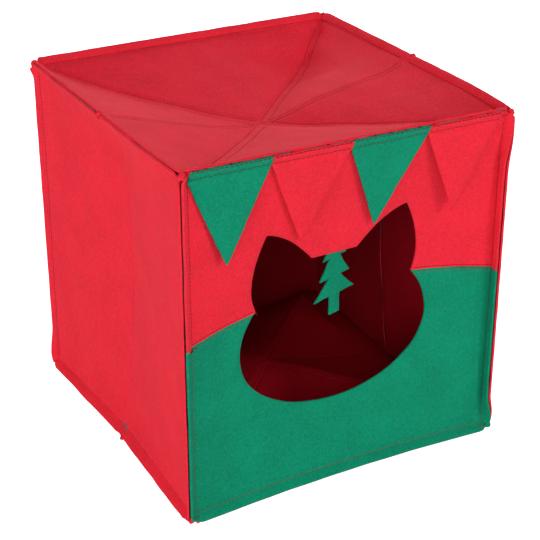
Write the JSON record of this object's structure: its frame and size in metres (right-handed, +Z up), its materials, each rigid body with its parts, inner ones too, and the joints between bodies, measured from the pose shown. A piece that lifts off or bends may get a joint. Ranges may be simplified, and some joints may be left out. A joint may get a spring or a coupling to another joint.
{
  "type": "cat cave bed",
  "caption": "Collapsible cube-shaped cat bed of thick felt with a cat-head entrance, festive bunting and a hanging fir-tree toy.",
  "frame": {"origin": "on the floor plane, under the middle of the bed's outline", "axes": "+Z up, -Y out of the cat-head entrance, +X to the right of someone facing the entrance"},
  "size_m": [0.38, 0.3803, 0.3885],
  "materials": {
    "red_felt": "matt pressed felt",
    "green_felt": "matt pressed felt",
    "coated_wire": "black plastic-coated spring steel",
    "thread": "dark red sewing thread"
  },
  "bodies": {
    "front_frame": {"front_upper_panel": "red_felt", "front_lower_panel": "green_felt", "front_frame_wire": "coated_wire", "left_wall_front_lip": "red_felt", "right_wall_front_lip": "red_felt", "top_front_lip": "red_felt", "floor_front_lip": "red_felt", "pennant_1_hem": "green_felt", "pennant_2_hem": "red_felt", "pennant_3_hem": "green_felt", "pennant_4_hem": "red_felt", "toy_tab": "red_felt"},
    "rear_frame": {"rear_panel": "red_felt", "rear_frame_wire": "coated_wire", "left_wall_rear_lip": "red_felt", "right_wall_rear_lip": "red_felt", "top_rear_lip": "red_felt", "floor_rear_lip": "red_felt"},
    "left_front_wall_half": {"left_front_wall": "red_felt", "left_front_wire": "coated_wire", "left_front_channel": "red_felt", "top_left_front_lip": "red_felt", "floor_left_front_lip": "red_felt"},
    "left_rear_wall_half": {"left_rear_wall": "red_felt", "left_rear_wire": "coated_wire", "left_rear_channel": "red_felt", "top_left_rear_lip": "red_felt", "floor_left_rear_lip": "red_felt"},
    "right_front_wall_half": {"right_front_wall": "red_felt", "right_front_wire": "coated_wire", "right_front_channel": "red_felt", "top_right_front_lip": "red_felt", "floor_right_front_lip": "red_felt"},
    "right_rear_wall_half": {"right_rear_wall": "red_felt", "right_rear_wire": "coated_wire", "right_rear_channel": "red_felt", "top_right_rear_lip": "red_felt", "floor_right_rear_lip": "red_felt"},
    "top_front": {"top_front_flap": "red_felt"},
    "top_rear": {"top_rear_flap": "red_felt"},
    "top_left_front": {"top_left_front_gore": "red_felt"},
    "top_left_rear": {"top_left_rear_gore": "red_felt"},
    "top_right_front": {"top_right_front_gore": "red_felt"},
    "top_right_rear": {"top_right_rear_gore": "red_felt"},
    "floor_front": {"floor_front_flap": "red_felt"},
    "floor_rear": {"floor_rear_flap": "red_felt"},
    "floor_left_front": {"floor_left_front_gore": "red_felt"},
    "floor_left_rear": {"floor_left_rear_gore": "red_felt"},
    "floor_right_front": {"floor_right_front_gore": "red_felt"},
    "floor_right_rear": {"floor_right_rear_gore": "red_felt"},
    "pennant_1": {"pennant_1": "green_felt"},
    "pennant_2": {"pennant_2": "red_felt"},
    "pennant_3": {"pennant_3": "green_felt"},
    "pennant_4": {"pennant_4": "red_felt"},
    "thread_loop": {"toy_thread_loop": "thread"},
    "knot": {"toy_knot": "thread"},
    "tree": {"toy_tree": "green_felt"}
  },
  "joints": [
    {"name": "fold", "type": "hinge", "parent": "front_frame", "child": "left_front_wall_half", "pos_m": [-0.18022, -0.18022, 0.1936], "axis": [0, 0, -1], "range_deg": [0, 71], "stiffness_Nm_per_rad": 0.15, "springref_deg": -28.65},
    {"name": "left_midline_fold", "type": "hinge", "parent": "left_front_wall_half", "child": "left_rear_wall_half", "pos_m": [-0.19, 0, 0.1936], "axis": [0, 0, 1], "range_deg": [0, 142]},
    {"name": "left_rear_seam_fold", "type": "hinge", "parent": "left_rear_wall_half", "child": "rear_frame", "pos_m": [-0.18022, 0.18022, 0.1936], "axis": [0, 0, -1], "range_deg": [0, 71]},
    {"name": "right_front_seam_fold", "type": "hinge", "parent": "front_frame", "child": "right_front_wall_half", "pos_m": [0.18022, -0.18022, 0.1936], "axis": [0, 0, 1], "range_deg": [0, 71]},
    {"name": "right_midline_fold", "type": "hinge", "parent": "right_front_wall_half", "child": "right_rear_wall_half", "pos_m": [0.19, 0, 0.1936], "axis": [0, 0, -1], "range_deg": [0, 142]},
    {"name": "top_front_fold", "type": "hinge", "parent": "front_frame", "child": "top_front", "pos_m": [0, -0.18022, 0.37822], "axis": [-1, 0, 0], "range_deg": [0, 59.15]},
    {"name": "top_rear_fold", "type": "hinge", "parent": "rear_frame", "child": "top_rear", "pos_m": [0, 0.18022, 0.37822], "axis": [1, 0, 0], "range_deg": [0, 59.15]},
    {"name": "top_left_front_fold", "type": "hinge", "parent": "left_front_wall_half", "child": "top_left_front", "pos_m": [-0.18022, -0.09011, 0.37822], "axis": [0, 1, 0], "range_deg": [0, 78.11], "deforming": ["top_left_front_gore"]},
    {"name": "top_left_rear_fold", "type": "hinge", "parent": "left_rear_wall_half", "child": "top_left_rear", "pos_m": [-0.18022, 0.09011, 0.37822], "axis": [0, 1, 0], "range_deg": [0, 78.11], "deforming": ["top_left_rear_gore"]},
    {"name": "top_right_front_fold", "type": "hinge", "parent": "right_front_wall_half", "child": "top_right_front", "pos_m": [0.18022, -0.09011, 0.37822], "axis": [0, -1, 0], "range_deg": [0, 78.11], "deforming": ["top_right_front_gore"]},
    {"name": "top_right_rear_fold", "type": "hinge", "parent": "right_rear_wall_half", "child": "top_right_rear", "pos_m": [0.18022, 0.09011, 0.37822], "axis": [0, -1, 0], "range_deg": [0, 78.11], "deforming": ["top_right_rear_gore"]},
    {"name": "floor_front_fold", "type": "hinge", "parent": "front_frame", "child": "floor_front", "pos_m": [0, -0.18022, 0.00898], "axis": [1, 0, 0], "range_deg": [0, 59.15]},
    {"name": "floor_rear_fold", "type": "hinge", "parent": "rear_frame", "child": "floor_rear", "pos_m": [0, 0.18022, 0.00898], "axis": [-1, 0, 0], "range_deg": [0, 59.15]},
    {"name": "floor_left_front_fold", "type": "hinge", "parent": "left_front_wall_half", "child": "floor_left_front", "pos_m": [-0.18022, -0.09011, 0.00898], "axis": [0, -1, 0], "range_deg": [0, 78.11], "deforming": ["floor_left_front_gore"]},
    {"name": "floor_left_rear_fold", "type": "hinge", "parent": "left_rear_wall_half", "child": "floor_left_rear", "pos_m": [-0.18022, 0.09011, 0.00898], "axis": [0, -1, 0], "range_deg": [0, 78.11], "deforming": ["floor_left_rear_gore"]},
    {"name": "floor_right_front_fold", "type": "hinge", "parent": "right_front_wall_half", "child": "floor_right_front", "pos_m": [0.18022, -0.09011, 0.00898], "axis": [0, 1, 0], "range_deg": [0, 78.11], "deforming": ["floor_right_front_gore"]},
    {"name": "floor_right_rear_fold", "type": "hinge", "parent": "right_rear_wall_half", "child": "floor_right_rear", "pos_m": [0.18022, 0.09011, 0.00898], "axis": [0, 1, 0], "range_deg": [0, 78.11], "deforming": ["floor_right_rear_gore"]},
    {"name": "pennant_1_lift", "type": "hinge", "parent": "front_frame", "child": "pennant_1", "pos_m": [-0.13215, -0.18332, 0.37517], "axis": [-1, 0, 0], "range_deg": [0, 80], "stiffness_Nm_per_rad": 0.01},
    {"name": "pennant_2_lift", "type": "hinge", "parent": "front_frame", "child": "pennant_2", "pos_m": [-0.04405, -0.18332, 0.37517], "axis": [-1, 0, 0], "range_deg": [0, 80], "stiffness_Nm_per_rad": 0.01},
    {"name": "pennant_3_lift", "type": "hinge", "parent": "front_frame", "child": "pennant_3", "pos_m": [0.04405, -0.18332, 0.37517], "axis": [-1, 0, 0], "range_deg": [0, 80], "stiffness_Nm_per_rad": 0.01},
    {"name": "pennant_4_lift", "type": "hinge", "parent": "front_frame", "child": "pennant_4", "pos_m": [0.13215, -0.18332, 0.37517], "axis": [-1, 0, 0], "range_deg": [0, 80], "stiffness_Nm_per_rad": 0.01},
    {"name": "toy_swing", "type": "hinge", "parent": "front_frame", "child": "thread_loop", "pos_m": [-0.0017, -0.15386, 0.2876], "axis": [-1, 0, 0], "range_deg": [-33, 2]},
    {"name": "toy_sway", "type": "hinge", "parent": "thread_loop", "child": "knot", "pos_m": [-0.0017, -0.15386, 0.2776], "axis": [0, 1, 0], "range_deg": [-12, 12]},
    {"name": "toy_twist", "type": "hinge", "parent": "knot", "child": "tree", "pos_m": [-0.0017, -0.15386, 0.2747], "axis": [0, 0, 1], "range_deg": [-44, 2]}
  ],
  "couplings": [
    {"joint": "left_midline_fold", "follows": "fold", "ratio": 2},
    {"joint": "left_rear_seam_fold", "follows": "fold", "ratio": 1},
    {"joint": "right_front_seam_fold", "follows": "fold", "ratio": 1},
    {"joint": "right_midline_fold", "follows": "fold", "ratio": 2},
    {"joint": "top_front_fold", "follows": "fold", "ratio": 0.833},
    {"joint": "top_rear_fold", "follows": "fold", "ratio": 0.833},
    {"joint": "top_left_front_fold", "follows": "fold", "ratio": 1.1},
    {"joint": "top_left_rear_fold", "follows": "fold", "ratio": 1.1},
    {"joint": "top_right_front_fold", "follows": "fold", "ratio": 1.1},
    {"joint": "top_right_rear_fold", "follows": "fold", "ratio": 1.1},
    {"joint": "floor_front_fold", "follows": "fold", "ratio": 0.833},
    {"joint": "floor_rear_fold", "follows": "fold", "ratio": 0.833},
    {"joint": "floor_left_front_fold", "follows": "fold", "ratio": 1.1},
    {"joint": "floor_left_rear_fold", "follows": "fold", "ratio": 1.1},
    {"joint": "floor_right_front_fold", "follows": "fold", "ratio": 1.1},
    {"joint": "floor_right_rear_fold", "follows": "fold", "ratio": 1.1}
  ]
}
